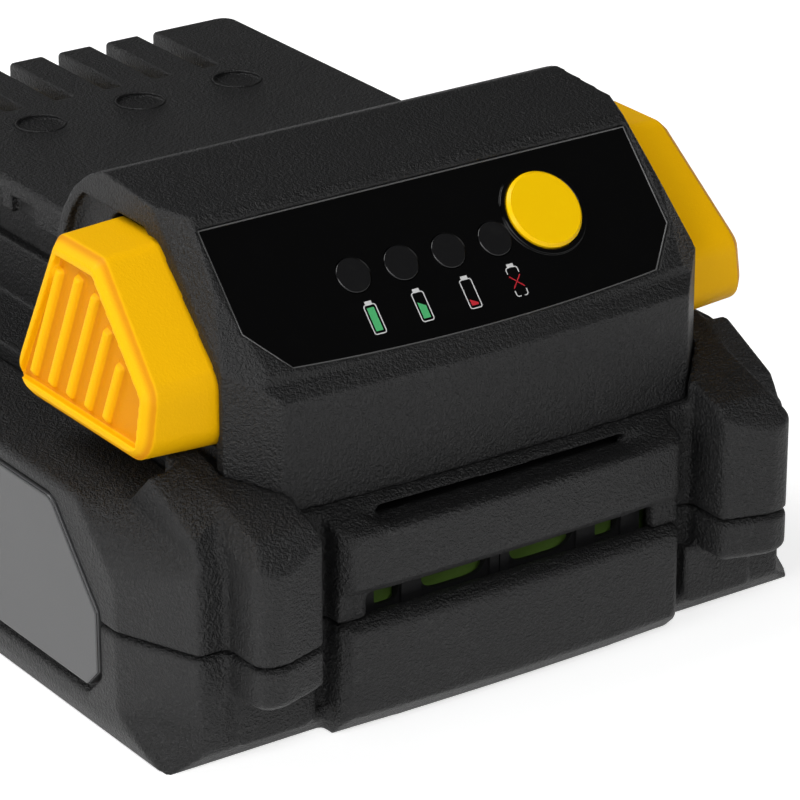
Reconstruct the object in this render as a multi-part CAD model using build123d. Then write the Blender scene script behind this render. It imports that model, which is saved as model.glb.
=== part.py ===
from build123d import *
import os
from math import atan2, cos, degrees, hypot, radians, sin

# Power tool battery pack: five round cells lying across a two-part case, with a
# slide rail and a display hood on top. Sizes are in millimetres, +Z is up, the front
# with the display faces -Y, and the origin is the middle of the resting face.

# Cells, which the rest is built round
cell_radius = 9.2
cell_length = 65.0
cell_spacing = 0.6
cell_front = 8.6
cell_rear = 4.0
cell_foot = 0.6
cell_button_radius = 3.0
cell_button_height = 0.8

# Whole pack
pack_length = 108.0
pack_height = 52.7
side_margin = 8.0
split_height = 12.65
shell_wall = 2.0
floor_thickness = 2.2
overrun = 1.0
bow_radius = 390.0
seam = 0.15
fastener_sides = 8

# Setbacks of the front faces behind the foremost point of the corner posts
bar_setback = 2.9
panel_setback = 3.0
vent_setback = 4.0
wall_setback = 6.2
hood_setback = 7.6
pedestal_setback = 5.65

# Body corners and edges
taper_length = 9.6
taper_inset = 3.9
rear_corner = 7.0
base_bevel_height = 2.0
base_bevel_front = 1.7
base_bevel_side = 0.6
base_corner = 0.4
flare_height = 4.0
flare_length = 4.0
reveal_depth = 0.7
reveal_height = 0.22
seat_cover = 2.8
shoulder_step = 0.9
shoulder_edge = 0.5
roll_start = 16.7
roll_outer_run = 6.2
roll_outer_drop = 6.4
roll_corner_drop = 3.5
roll_wall_drop = 2.8
roll_wall = 1.2
roll_extension_share = 0.2

# Corner posts and the ridges that run back from them
post_margin = 7.05
post_width = 8.55
post_crown = 5.6
post_inner_rise = 1.7
post_nose_rise = 0.5
post_corner_radius = 2.1
post_inner_radius = 0.9
post_foot_height = 7.9
post_foot_edge = 0.8
post_bevel_start = 0.2
post_bevel_drop = 2.5
post_bevel_depth = 2.9
post_bevel_rise = 2.65
post_top_slope = 0.31
post_flank_rise = 0.5
post_flank_lean = 0.3
flank_steepness = 1.6
ridge_start = 10.7
ridge_length = 17.5
ridge_flank_rise = 2.8
ridge_flank_lean = 0.65
root_width = 2.9
root_drop = 3.3
root_bevel_depth = 1.5
root_bevel_rise = 2.7
root_lean = 0.3
root_slope = 0.5
root_length = 9.5
pedestal_reach = 1.5
pedestal_inset = 1.15
pedestal_low = 2.0
pedestal_radius = 1.5

# Middle block of the front: louver bar, vent and lower panel
channel_width = 3.5
channel_depth = 1.2
channel_bottom = 3.2
block_chamfer = 1.6
block_nose = 0.9
bar_rise = 3.85
bar_lip = 0.6
bar_brow_drop = 2.0
pocket_drop = 1.55
pocket_inset = 5.7
pocket_depth = 3.1
pocket_flare_share = 0.56
top_slot_height = 0.85
top_slot_drop = 0.2
vent_inset = 3.4
vent_rise = 2.75
lip_drop = 0.85
panel_bottom = 2.5

# Side panels
panel_thickness = 1.2
panel_proud = 0.2
panel_drop = 2.0
panel_bottom_edge = 4.85
panel_front = 19.0
panel_rear = 13.0
panel_slope_run = 8.4
panel_slope_drop = 9.6
panel_foot = 2.2
panel_clearance = 0.12
panel_reveal = 0.85
panel_corner_radius = 2.0

# Deck: rail and hood moulding
ledge_inset = 0.5
ledge_rise = 2.6
deck_rear_gap = 13.0
deck_wall = 1.7
web_half = 19.8
web_step = 1.5
web_step_share = 0.52
flange_half = 24.5
flange_thickness = 3.65
plate_drop = 9.75
plate_thickness = 1.9
plate_corner = 2.0
plate_edge = 0.5
opening_inset = 4.9
opening_margin = 3.0
slot_pitch = 6.4
slot_count = 5
slot_width = 2.2
slot_length = 14.3
slot_floor_rise = 3.9
mark_radius = 2.7
mark_depth = 0.35
mark_gap = 5.6
mark_pitch = 12.8
notch_length = 4.7
notch_pitch = 6.7
notch_height = 1.9
notch_depth = 0.9
notch_gap = 12.5
notch_margin = 5.0

# Hood form; drops are measured down from the top of the pack
hood_margin = 11.1
hood_lean = 1.0
hood_draft_drop = 13.7
hood_top_rear = 35.8
hood_top_slope = 0.075
hood_arch_foot = 44.4
hood_arch_drop = 9.7
hood_arch_radius = 11.3
hood_corner_y = 12.8
hood_corner_run = 5.0
hood_bevel = 1.6
hood_bevel_drop = 16.5
hood_wall = 2.0
bevel_top_y = 26.6
bevel_top_drop = 0.7
bevel_inset = 2.6
chin_inset = 2.9
chin_inner_y = 13.6
chin_drop = 10.3
chin_low_drop = 17.3
side_recess_depth = 0.6
side_recess_margin = 1.3

# Display face: its origin is the middle of the overlay's top edge
display_y = 21.6
display_drop = 2.3
display_angle = 46.78
frame_rise = 0.4
overlay_inset = 3.1
overlay_side = 11.4
overlay_length = 16.0
overlay_corner_run = 3.8
overlay_bulge = 0.95
overlay_thickness = 0.5
overlay_clearance = 0.15
lens_pitch = 5.8
lens_count = 4
lens_first = -11.75
lens_along = 8.35
lens_radius = 1.9
lens_proud = 0.12
lens_clearance = 0.06
gauge_x = 12.5
gauge_along = 6.75
gauge_radius = 4.3
gauge_rise = 0.75
gauge_edge = 0.3
gauge_clearance = 0.1
gauge_flange = 0.7
gauge_flange_thickness = 0.7
gauge_gap = 0.15
gauge_stem_radius = 1.3
gauge_collar = 0.55
gauge_collar_rise = 0.3
switch_gap = 0.8
plunger_height = 0.5
plunger_radius = 1.5
switch_size = 6.0
switch_height = 2.3
board_gap = 0.6
board_start = 2.0
board_length = 13.4
board_thickness = 1.2
led_length = 2.0
led_width = 1.25
led_height = 0.8
boss_radius = 1.9
boss_place_shares = ((-0.89, 0.164), (0.925, 0.91))
small_screw_radius = 0.9
small_head_radius = 1.7
small_head_height = 0.9
small_screw_length = 4.0
screw_clearance = 0.05
ribbon_half = 5.0
ribbon_thickness = 0.3
ribbon_bend = 2.0
ribbon_tail = 5.0
gauge_spring_radius = 3.05
gauge_spring_wall = 0.5

# Release buttons
button_rear_top = 34.7
button_front_top = 25.6
button_foot = 4.6
button_top_drop = 4.3
button_nose_y = 13.8
button_nose_share = 0.438
button_rear_low = 41.2
button_margin = 2.5
button_root = 2.2
button_lean = 0.135
button_draft = 2.2
button_radius_shares = (0.0865, 0.119, 0.162, 0.173, 0.184)
button_edge = 1.1
button_edge_share = 0.7
button_wall = 1.7
button_gap = 0.35
grip_margin = 2.0
grip_depth = 1.0
grip_radius = 0.75
grip_pitch = 3.5
grip_count = 5
grip_lean = 15.0
grip_length_shares = (0.78, 0.80, 0.74, 0.55, 0.36)
grip_inset = 1.1
stem_y = 27.4
stem_share = 0.416
stem_radius = 3.0
stem_clearance = 0.08
guide_inset = 0.2
guide_thickness = 2.2
guide_margin = 2.2
latch_thickness = 2.6
latch_gap = 0.3
latch_height = 4.4
latch_rear = 51.0
tooth_length = 5.0
tooth_reach = 3.0
tooth_gap = 0.4
spring_radius = 2.9
spring_wall = 0.7
spring_pin_radius = 1.3
spring_pin_length = 4.0
anchor_half = 1.5
anchor_margin = 0.6
anchor_length = 14.0

# Cell holders, straps and tabs
holder_wall = 1.2
holder_bore_gap = 0.1
holder_cover = 0.4
holder_gap = 0.3
holder_window = 17.0
holder_bar = 2.0
holder_end = 7.4
rib_pitch = 11.0
rib_width = 2.4
rib_reach = 2.2
strap_thickness = 0.2
strap_width = 8.0
tab_width = 6.0
tab_thickness = 0.3
tab_in = 14.5
tab_slot_gap = 0.2
pad_gap = 0.3

# Circuit board and terminals
main_inset = 0.9
main_reach_front = 13.0
main_reach_rear = 3.6
main_thickness = 1.6
standoff_height = 3.4
standoff_radius = 2.2
standoff_x = 9.6
block_gap = 0.2
block_length = 15.8
block_top_gap = 0.25
contact_leaf = 0.4
contact_gap = 0.9
contact_length = 9.5
contact_top_gap = 1.0
contact_pocket = 3.4
contact_start = 1.4
contact_room = 0.7
contact_base = 1.0
tail_start = 1.475
tail_length = 1.925
part_sizes = ((7.0, 9.0, 3.2), (7.0, 9.0, 3.2), (5.0, 5.0, 4.2), (9.0, 6.0, 2.6))
part_place_shares = ((-0.52, 0.34), (0.17, 0.34), (0.7, 0.46), (-0.35, 0.53))

# Case screws
screw_radius = 1.25
screw_head_radius = 2.1
screw_head_height = 1.8
screw_length = 12.0
screw_seat = 5.4
boss_inset = 3.6
boss_front = 17.0
boss_rear = 7.4
case_boss_radius = 2.9

# Heights worked out from the sizes above, from the floor up
cell_rest = floor_thickness + cell_foot + cell_radius
holder_top = cell_rest + cell_radius + holder_cover
main_height = holder_top + standoff_height
seat_height = holder_top + seat_cover
shoulder_height = seat_height + shoulder_step
ledge_height = seat_height + ledge_rise
plate_height = pack_height - plate_drop
web_top = plate_height - flange_thickness
web_step_height = ledge_height + web_step_share * (web_top - ledge_height)
slot_floor = main_height + main_thickness + slot_floor_rise
hood_draft_height = pack_height - hood_draft_drop
hood_arch_height = pack_height - hood_arch_drop
hood_bevel_height = pack_height - hood_bevel_drop
button_low = shoulder_height + button_foot
button_top = pack_height - button_top_drop
button_nose_height = button_low + button_nose_share * (button_top - button_low)
stem_height = button_low + stem_share * (button_top - button_low)
post_front_height = shoulder_height - post_bevel_drop
bar_bottom = split_height + bar_rise
vent_top = split_height + vent_rise
pocket_floor = seat_height - pocket_drop
panel_top = shoulder_height - panel_drop

# Widths, measured from the middle
half_width = cell_length / 2 + side_margin
holder_half = cell_length / 2 + holder_wall
post_outer = half_width - post_margin
post_inner = post_outer - post_width
block_half = post_inner - channel_width
vent_half = block_half - vent_inset
pocket_half = block_half - pocket_inset
hood_half = half_width - hood_margin
hood_top_half = hood_half - hood_lean
hood_corner_x = hood_half - hood_corner_run
ledge_half = hood_half - ledge_inset
opening_half = ledge_half - opening_inset
overlay_half = hood_half - overlay_inset
overlay_foot = overlay_half - overlay_corner_run
button_reach = half_width - button_margin
button_inner = hood_half - button_root
web_inner = web_half - deck_wall
guide_face = web_inner - guide_inset
latch_face = guide_face - latch_gap
main_half = web_inner - main_inset
board_half = guide_face - board_gap
boss_x = half_width - boss_inset

# Places along the pack
front_y = -pack_length / 2
rear_y = pack_length / 2
wall_y = front_y + wall_setback
taper_y = wall_y + taper_length
vent_y = front_y + vent_setback
bar_y = front_y + bar_setback
panel_y = front_y + panel_setback
hood_y = front_y + hood_setback
bow_axis_y = vent_y + bow_radius
deck_rear = rear_y - deck_rear_gap
slot_start = deck_rear - slot_length
cell_pitch = 2 * cell_radius + cell_spacing
cell_count = int((pack_length - cell_front - cell_rear) / cell_pitch)
cell_places = [front_y + cell_front + cell_radius + n * cell_pitch for n in range(cell_count)]
notch_start = front_y + hood_arch_foot + notch_gap
notch_count = int((deck_rear - notch_margin - notch_start) / notch_pitch) + 1
stem_place = (front_y + stem_y, stem_height)
display_origin = (0, front_y + display_y, pack_height - display_drop)


def plan(points, low, high):
    """Upright prism over a plan outline."""
    return extrude(Pos(0, 0, low) * Polygon(*points, align=None), high - low, dir=(0, 0, 1))


def block(low, high):
    """Box between two corners."""
    size = [b - a for a, b in zip(low, high)]
    middle = [(a + b) / 2 for a, b in zip(low, high)]
    return Pos(*middle) * Box(*size)


def trim(form, point, outward):
    """Keep what lies behind the plane through a point."""
    return split(form, bisect_by=Plane(origin=point, z_dir=outward), keep=Keep.BOTTOM)


def bowed(points):
    """Turn a profile in y and z about the far upright axis that bows the front."""
    turn = degrees(atan2(half_width, bow_radius))
    start = Pos(0, bow_axis_y, 0) * Rot(0, 0, -turn) * Pos(0, -bow_axis_y, 0)
    face = start * (Plane.YZ * Polygon(*points, align=None))
    return revolve(face, Axis((0, bow_axis_y, 0), (0, 0, 1)), 2 * turn)


def mirrored(form):
    """The same form on the left of the pack."""
    return mirror(form, Plane.YZ)


def both(form):
    """A form and its mirror image on the other side of the pack."""
    return form + mirrored(form)


def drill(x, y, radius, low, high):
    """Upright round bar, for bosses and bores."""
    return Pos(x, y, (low + high) / 2) * Cylinder(radius, high - low)


def pin(x, y, radius, low, high):
    """Upright few-sided bar, for small screws and the holes that they pass."""
    return Pos(x, y, low) * extrude(RegularPolygon(radius, fastener_sides), high - low)


def rod(y, z, radius, low, high):
    """Round bar along X."""
    return Pos((low + high) / 2, y, z) * Rot(0, 90, 0) * Cylinder(radius, high - low)


def sleeve(place, radius, wall, length):
    """Few-sided tube that stands on a plane, for the outer and inner size of a coil spring."""
    ring = RegularPolygon(radius, fastener_sides) - RegularPolygon(radius - wall, fastener_sides)
    return extrude(place * ring, length)


def on_display(x, along, depth=0):
    """Plane parallel to the display face; along runs down it, depth goes inwards."""
    tilt = radians(display_angle)
    y = display_origin[1] - along * cos(tilt) + depth * sin(tilt)
    z = display_origin[2] - along * sin(tilt) - depth * cos(tilt)
    return Plane(origin=(x, y, z), x_dir=(1, 0, 0), z_dir=(0, -sin(tilt), cos(tilt)))


def case_plan(wide, back, side_corner, front_corner, front):
    """Plan of the case at one height: the last three sizes place the two ends of its front facet."""
    inner = wide - rear_corner
    right = [(front_corner, front), (wide, side_corner), (wide, back - rear_corner), (inner, back)]
    return Polygon(*right, *[(-x, y) for x, y in reversed(right)], align=None)


def body_outline(inset=0):
    """Plan of the case: straight sides that taper in towards the front wall."""
    face = case_plan(half_width, rear_y, taper_y, half_width - taper_inset, wall_y)
    return offset(face, -inset, kind=Kind.INTERSECTION) if inset else face


def base_form():
    """Foot of the case: bevelled round the bottom, its front facets flaring out into square corners."""
    wide = half_width - base_bevel_side
    front = wall_y + base_bevel_front
    sections = [
        case_plan(wide, rear_y - base_bevel_side, front + base_corner, wide - base_corner, front),
        Pos(0, 0, base_bevel_height) * case_plan(half_width, rear_y, taper_y - flare_length,
                                                 half_width - taper_inset, wall_y),
        Pos(0, 0, flare_height) * body_outline(),
    ]
    return loft(sections, ruled=True)


def post_outline():
    """Plan of one corner post on the right, with its nose and rounded outer corner."""
    nose = (post_inner + post_crown, front_y)
    inner = (post_inner, front_y + post_inner_rise)
    outer = (post_outer, front_y + post_nose_rise)
    back = wall_y + shell_wall
    face = Polygon((post_inner, back), inner, nose, outer, (post_outer, back), align=None)
    face = fillet(face.vertices().sort_by_distance((*outer, 0))[0], post_corner_radius)
    return fillet(face.vertices().sort_by_distance((*inner, 0))[0], post_inner_radius)


def pedestal():
    """Low step of the front wall that the right post's foot stands over."""
    step = block((post_inner - pedestal_reach, front_y + pedestal_setback, pedestal_low),
                 (post_outer - pedestal_inset, wall_y + shell_wall, post_foot_height + post_foot_edge))
    corner = step.edges().filter_by(Axis.Y).sort_by(Axis.Z)[:2].sort_by(Axis.X)[0]
    return fillet(corner, pedestal_radius)


def block_plan():
    """Plan of the middle block: straight flanks with chamfered front corners."""
    nose = front_y + block_nose
    shoulder = bar_y + block_chamfer
    inner = block_half - (shoulder - nose)
    back = wall_y + shell_wall
    right = [(inner, nose), (block_half, shoulder), (block_half, back)]
    return right + [(-x, y) for x, y in reversed(right)]


def front_block(points):
    """Piece of the bowed middle block between its chamfered flanks."""
    return bowed(points) & plan(block_plan(), -overrun, pack_height)


def channel_cut():
    """Dark channels between the middle block and the posts."""
    return both(block((block_half, wall_y - overrun, channel_bottom),
                      (post_inner, wall_y + channel_depth, pack_height)))


def block_hollow(top):
    """Room behind the front block for air to reach the cells."""
    half = block_half - shell_wall
    return block((-half, vent_y + shell_wall, floor_thickness), (half, wall_y + shell_wall * 2, top))


def panel_outline(grow=0, reveal=0):
    """Side panel outline in y and z; its front end slopes back, its foot is cut off."""
    front = front_y + panel_front - grow
    rear = rear_y - panel_rear + grow
    top = panel_top + grow
    low = panel_bottom_edge - grow - reveal
    run = panel_slope_run
    knee = top - panel_slope_drop
    foot = panel_foot + (grow + reveal) / 2
    points = [
        (front + run, top),
        (front, knee),
        (front, low + foot),
        (front + foot, low),
        (rear - foot, low),
        (rear, low + foot),
        (rear, knee),
        (rear - run, top),
    ]
    face = Polygon(*points, align=None)
    return fillet(face.vertices().group_by(Axis.Y)[-1], panel_corner_radius)


def panel_recess():
    """Pockets in both flanks of the case that the side panels sit in."""
    floor = half_width + panel_proud - panel_thickness
    depth = panel_proud + overrun
    pocket = extrude(Plane.YZ.offset(floor) * panel_outline(panel_clearance), panel_thickness + depth)
    reveal = extrude(Plane.YZ.offset(floor) * panel_outline(panel_clearance, panel_reveal),
                     panel_thickness + depth)
    return both(pocket + reveal)


def side_panel():
    """Satin panel let into the right flank."""
    floor = half_width + panel_proud - panel_thickness
    panel = extrude(Plane.YZ.offset(floor) * panel_outline(), panel_thickness)
    rim = panel.faces().sort_by(Axis.X)[-1].edges()
    return chamfer(rim, panel_proud)


def split_outline():
    """Everything that the split between the shells runs round."""
    behind = [(half_width, vent_y), (half_width, rear_y), (-half_width, rear_y), (-half_width, vent_y)]
    middle = Polygon(*block_plan(), align=None) & Polygon(*behind, align=None)
    posts = post_outline()
    return body_outline() + middle + posts + mirrored(posts)


def reveal_ring(low):
    """Shallow step round the outside that makes the shadow line at the split."""
    wide = half_width + overrun
    long = rear_y + overrun
    around = block((-wide, -long, low), (wide, long, low + reveal_height))
    inner = offset(split_outline(), -reveal_depth, kind=Kind.INTERSECTION)
    return around - extrude(Pos(0, 0, low - overrun) * inner, reveal_height + 2 * overrun)


def case_screw_places():
    """Screw axes, one inside each corner of the case."""
    return [(x, y) for x in (-boss_x, boss_x) for y in (front_y + boss_front, rear_y - boss_rear)]


def case_bosses(low, high):
    """Bosses round the case screws, run out to the walls."""
    reach = case_boss_radius
    bosses = [block((boss_x - reach, y - reach, low), (half_width, y + reach, high))
              for y in (front_y + boss_front, rear_y - boss_rear)]
    inside = extrude(Pos(0, 0, low) * body_outline(shell_wall / 2), high - low)
    return both((bosses[0] + bosses[1]) & inside)


def lower_shell():
    """Tray: floor, flanks, lower front panel, post feet and screw bosses."""
    shell = base_form()
    shell += extrude(Pos(0, 0, flare_height) * body_outline(), split_height - flare_height)
    front = panel_y
    shell += front_block([
        (front + panel_bottom, 0),
        (front, panel_bottom),
        (front, split_height - lip_drop),
        (vent_y, split_height),
        (wall_y + shell_wall, split_height),
        (wall_y + shell_wall, 0),
    ])
    bevel_top = post_foot_height + post_foot_edge
    posts = extrude(Pos(0, 0, bevel_top) * post_outline(), split_height - bevel_top)
    posts += extrude(Pos(0, 0, bevel_top) * post_outline(), -post_foot_edge, taper=45)
    shell += both(posts)
    hollow = extrude(Pos(0, 0, floor_thickness) * body_outline(shell_wall), split_height)
    shell -= hollow + block_hollow(split_height + overrun)
    shell -= channel_cut()
    shell += both(pedestal())
    shell += case_bosses(floor_thickness, split_height)
    for x, y in case_screw_places():
        shell -= pin(x, y, screw_radius + screw_clearance, 0, split_height + overrun)
        shell -= pin(x, y, screw_head_radius + screw_clearance, -overrun, screw_seat)
    shell -= panel_recess()
    shell -= reveal_ring(split_height - reveal_height)
    return shell


def shoulder_roll():
    """Cutter that rolls the front of the right shoulder down onto the corner facet."""
    start = wall_y + roll_start
    corner_x = half_width - taper_inset
    wall_x = post_outer - shell_wall
    grow = (half_width + overrun - corner_x) / taper_inset
    outer = (roll_start + (roll_outer_run - roll_start) * grow,
             roll_corner_drop + (roll_outer_drop - roll_corner_drop) * grow)
    sections = []
    for x, (run, drop) in ((half_width + overrun, outer), (corner_x, (roll_start, roll_corner_drop)),
                           (wall_x, (roll_start, roll_wall_drop))):
        reach = 1 + roll_extension_share
        end_y = start - run * reach
        points = [
            (start, shoulder_height),
            (end_y, shoulder_height - drop * reach),
            (end_y, pack_height),
            (start, pack_height),
        ]
        sections.append(Plane.YZ.offset(x) * Polygon(*points, align=None))
    return loft(sections, ruled=True)


def post_top(form, edge, lean):
    """Slope the top of a post or ridge: front bevel, roof, and a flank bevel through an edge point."""
    bevel_y = front_y + post_bevel_start
    roof_y = bevel_y + post_bevel_depth
    form = trim(form, (0, bevel_y, post_front_height), (0, -post_bevel_rise, post_bevel_depth))
    form = trim(form, (0, roof_y, post_front_height + post_bevel_rise), (0, -post_top_slope, 1))
    return trim(form, edge, (flank_steepness, -lean, 1))


def post_with_ridge():
    """Upper part of the right post and the higher ridge behind it, beside the hood."""
    high = pack_height + overrun
    post = extrude(Pos(0, 0, split_height) * post_outline(), high - split_height)
    start = front_y + ridge_start
    post += block((hood_corner_x, wall_y, split_height), (post_outer, start, high))
    roof_y = front_y + post_bevel_start + post_bevel_depth
    post = post_top(post, (post_outer, roof_y, post_front_height + post_flank_rise), post_flank_lean)
    ridge = block((hood_corner_x, start, split_height), (post_outer, front_y + ridge_length, high))
    ridge = post_top(ridge, (post_outer, start, post_front_height + ridge_flank_rise), ridge_flank_lean)
    return post + ridge + ridge_root()


def ridge_root():
    """Low shoulder that runs up beside the right ridge and falls off behind."""
    foot = shoulder_height - root_drop
    edge = post_outer + root_width
    front = wall_y + root_bevel_depth
    top = foot + root_bevel_rise
    root = block((post_outer - shell_wall / 2, wall_y, split_height),
                 (edge, wall_y + 2 * root_length, pack_height))
    root = trim(root, (0, wall_y, foot), (0, -root_bevel_rise, root_bevel_depth))
    root = trim(root, (edge, front, top), (root_lean, -root_slope, 1))
    peak = top + root_slope * (root_length - root_bevel_depth)
    return trim(root, (edge, wall_y + root_length, peak), (0, 1, 1))


def hood_plan(grow=0):
    """Plan of the deck: hood with cut corners at the front, ledge behind."""
    front = hood_y - grow
    corner = front_y + hood_corner_y
    wide = hood_half + grow
    narrow = hood_corner_x + grow / 2
    half = ledge_half + grow
    step = front_y + hood_arch_foot
    right = [(narrow, front), (wide, corner - grow / 2), (wide, step + grow), (half, step + grow),
             (half, deck_rear + grow)]
    return right + [(-x, y) for x, y in reversed(right)]


def upper_shell():
    """Upper case: shoulders, posts, louver bar, and the seat that the deck drops into."""
    shell = extrude(Pos(0, 0, split_height) * body_outline(), shoulder_height - split_height)
    for hand in (-1, 1):
        edge = (hand * half_width, 0, shoulder_height - shoulder_edge)
        shell = trim(shell, edge, (hand, 0, 1))
    shell -= both(shoulder_roll())
    shell += front_block([
        (vent_y, split_height),
        (vent_y, bar_bottom - bar_lip),
        (bar_y, bar_bottom),
        (bar_y, seat_height - bar_brow_drop),
        (hood_y, seat_height),
        (wall_y + shell_wall, seat_height),
        (wall_y + shell_wall, split_height),
    ])
    shell -= brow_room()
    shell += both(post_with_ridge())
    shell -= plan(hood_plan(seam), seat_height, pack_height)
    hollow_top = seat_height - shell_wall * 3 / 4
    hollow = extrude(Pos(0, 0, split_height - overrun) * body_outline(shell_wall),
                     hollow_top - split_height + overrun)
    hollow -= both(Pos(0, 0, -roll_wall) * shoulder_roll())
    shell -= hollow + block_hollow(pocket_floor - shell_wall / 2)
    shell -= front_openings()
    shell -= channel_cut()
    start = hood_y + opening_margin
    end = deck_rear - opening_margin
    shell -= block((-opening_half, start, split_height), (opening_half, end, pack_height))
    boss_top = screw_seat + screw_length + shell_wall
    shell += case_bosses(split_height, boss_top)
    for x, y in case_screw_places():
        shell -= pin(x, y, screw_radius + screw_clearance, split_height - overrun, boss_top - shell_wall)
    shell -= panel_recess()
    shell -= reveal_ring(split_height)
    return shell


def brow_room():
    """Room in front of the hood, above the brow of the louver bar."""
    high = pack_height + overrun
    low = seat_height - bar_brow_drop
    room = bowed([(front_y, low), (bar_y, low), (hood_y, seat_height), (hood_y, high), (front_y, high)])
    return room & block((-post_inner, front_y - overrun, low - overrun), (post_inner, hood_y + overrun, high))


def front_openings():
    """Vent slot under the bar, and the pocket and slot above it."""
    deep = wall_y + shell_wall * 2
    vent = block((-vent_half, front_y, split_height - overrun), (vent_half, deep, vent_top))
    back = bar_y + pocket_depth
    pocket = bowed([
        (front_y, pocket_floor),
        (back, pocket_floor),
        (back, seat_height + overrun),
        (front_y, seat_height + overrun),
    ])
    flare = pocket_half + pocket_depth * pocket_flare_share
    mouth = pocket_half - bar_setback * pocket_flare_share
    ends = [(-mouth, front_y), (mouth, front_y), (flare, back), (flare, 0), (-flare, 0), (-flare, back)]
    pocket &= plan(ends, pocket_floor - overrun, pack_height)
    floor = pocket_floor - top_slot_drop
    throat = block((-pocket_half, bar_y, floor), (pocket_half, deep, floor + top_slot_height))
    drop = block((-pocket_half, back + shell_wall * 2 / 3, floor - shell_wall),
                 (pocket_half, deep, floor + top_slot_height))
    return vent + pocket + throat + drop


def hood_outline(inset, low):
    """Side view of the hood in y and z: arched back, top, and sloping display face."""
    rear = front_y + hood_arch_foot
    back = front_y + hood_top_rear
    slope = sin(radians(display_angle)) / cos(radians(display_angle))
    face_y = display_origin[1] - frame_rise * sin(radians(display_angle))
    face_z = display_origin[2] + frame_rise * cos(radians(display_angle))
    brow_y = (pack_height - hood_top_slope * back - face_z + slope * face_y) / (slope - hood_top_slope)
    brow_z = pack_height + hood_top_slope * (brow_y - back)
    chin_y = front_y - overrun
    chin_z = brow_z + (chin_y - brow_y) * slope
    line = Polyline((back, pack_height), (brow_y, brow_z), (chin_y, chin_z), (chin_y, low),
                    (rear, low), (rear, hood_arch_height))
    arch = RadiusArc((rear, hood_arch_height), (back, pack_height), -hood_arch_radius)
    face = make_face(line + arch)
    return offset(face, -inset, kind=Kind.INTERSECTION) if inset else face


def hood_facets():
    """Points and outward directions of the planes that cut the hood's right side."""
    corner = Vector(hood_half, front_y + hood_corner_y, 0)
    nose = Vector(hood_corner_x, hood_y, 0)
    bevel_top = Vector(hood_top_half, front_y + bevel_top_y, pack_height - bevel_top_drop)
    bevel_low = Vector(hood_half, front_y + hood_corner_y, hood_draft_height)
    face = on_display(hood_half - bevel_inset, 0, -frame_rise).origin
    chin = Vector(hood_half - chin_inset, front_y + chin_inner_y, pack_height - chin_drop)
    bow = bow_radius - hypot(bow_radius, hood_corner_x)
    chin_low = Vector(hood_corner_x, hood_y + bow, pack_height - chin_low_drop)
    return [
        (Vector(hood_half, 0, 0), Vector(1, 0, 0)),
        (Vector(hood_half, 0, hood_draft_height), Vector(hood_draft_drop, 0, hood_lean)),
        (corner, Vector(corner.Y - nose.Y, nose.X - corner.X, 0)),
        (bevel_low, (bevel_top - bevel_low).cross(face - bevel_low)),
        (bevel_low, (bevel_low - chin_low).cross(chin - bevel_low)),
    ]


def hood_form(inset=0, low=seat_height):
    """Hood as one closed form: bowed front, cut corners and bevelled flanks."""
    wide = half_width + overrun
    form = extrude(Plane.YZ.offset(-wide) * hood_outline(inset, low), 2 * wide)
    front = hood_y + inset
    form &= bowed([
        (front, low - overrun),
        (front, hood_bevel_height),
        (front + hood_bevel, hood_bevel_height + hood_bevel),
        (front + hood_bevel, pack_height + overrun),
        (rear_y, pack_height + overrun),
        (rear_y, low - overrun),
    ])
    for point, outward in hood_facets():
        outward = outward.normalized()
        if outward.X < 0:
            outward = -outward
        point = point - outward * inset
        form = trim(form, point, outward)
        left = Vector(-point.X, point.Y, point.Z)
        form = trim(form, left, Vector(-outward.X, outward.Y, outward.Z))
    return form


def button_corners():
    """Corners of a release button's outline in y and z, from the top rear round to the heel."""
    return [
        (front_y + button_rear_top, button_top),
        (front_y + button_front_top, button_top),
        (front_y + button_nose_y, button_nose_height),
        (front_y + button_nose_y, button_low),
        (front_y + button_rear_low, button_low),
    ]


def button_outline(grow=0):
    """Outline of a release button in y and z, with its rounded corners."""
    face = Polygon(*button_corners(), align=None)
    height = button_top - button_low
    for point, share in zip(button_corners(), button_radius_shares):
        face = fillet(face.vertices().sort_by_distance((*point, 0))[0], share * height)
    return offset(face, grow) if grow else face


def deck_guides():
    """Ribs under the hood roof that guide the button stems and back their springs."""
    y, z = stem_place
    reach = stem_radius + guide_margin
    end = guide_face + guide_thickness
    guide = block((guide_face, y - reach, z - reach), (end, y + reach, pack_height))
    guide -= rod(y, z, stem_radius + stem_clearance, guide_face - overrun, end + overrun)
    wide = spring_radius + anchor_margin
    anchor = rod(y, z, wide, -anchor_half, anchor_half)
    anchor += block((-anchor_half, y, z - wide), (anchor_half, y + anchor_length, pack_height))
    ribs = both(guide) + anchor
    return ribs & hood_form(hood_wall / 2, seat_height - overrun)


def boss_places():
    """Places of the display board's two screws across and down the display."""
    return [(x * board_half, board_start + along * board_length) for x, along in boss_place_shares]


def display_bosses():
    """Bosses behind the display face that carry the small circuit board."""
    bosses = []
    start = hood_wall * 3 / 4 - frame_rise
    for x, along in boss_places():
        bosses.append(extrude(on_display(x, along, start) * RegularPolygon(boss_radius, fastener_sides),
                              start - board_depth()))
    return bosses


def board_depth():
    """Depth of the display board's top below the overlay."""
    flange_top = hood_wall - frame_rise + gauge_gap
    stem_end = flange_top + gauge_flange_thickness + switch_gap
    return stem_end + switch_gap + plunger_height + switch_height


def overlay_outline(grow=0):
    """Outline of the display overlay: cut lower corners and a bowed foot."""
    half = overlay_half + grow
    side_end = -overlay_side - grow / 2
    foot = overlay_foot + grow / 2
    low = -overlay_length - grow
    line = Polyline((foot, low), (half, side_end), (half, grow), (-half, grow), (-half, side_end),
                    (-foot, low))
    return make_face(line + ThreePointArc((-foot, low), (0, low - overlay_bulge), (foot, low)))


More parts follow.
